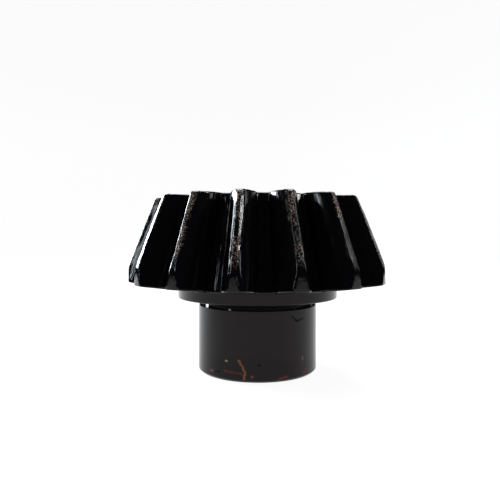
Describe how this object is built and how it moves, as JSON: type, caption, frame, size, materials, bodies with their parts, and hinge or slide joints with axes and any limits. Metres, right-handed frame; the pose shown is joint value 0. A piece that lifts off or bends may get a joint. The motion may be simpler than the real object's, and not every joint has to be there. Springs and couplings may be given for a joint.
{
  "type": "straight bevel pinion",
  "caption": "Small straight-toothed bevel gear with a stepped hub, keyed bore and set screws. It drives a larger bevel gear through a right angle.",
  "frame": {"origin": "centre of the hub's end face, where the bore's axis crosses it", "axes": "+Z along the bore's axis, from the hub towards the narrow end of the teeth. +X and +Y are square to it. One tooth's middle and the keyway both point 45 degrees between them."},
  "size_m": [0.1073, 0.1072, 0.072],
  "materials": {
    "black_lacquered_steel": "thick gloss black lacquer over forged and turned steel",
    "black_oxide_steel": "black oxide, slightly oily"
  },
  "bodies": {
    "pinion": {"bevel_pinion": "black_lacquered_steel"},
    "key_screw": {"key_set_screw": "black_oxide_steel"},
    "shaft_screw": {"shaft_set_screw": "black_oxide_steel"}
  },
  "joints": [
    {"name": "key_screw_travel", "type": "slide", "parent": "pinion", "child": "key_screw", "axis": [0.7071, 0.7071, 0], "range_m": [-0.0005, 0.005]},
    {"name": "shaft_screw_travel", "type": "slide", "parent": "pinion", "child": "shaft_screw", "axis": [-0.7071, 0.7071, 0], "range_m": [-0.0003, 0.008]}
  ]
}
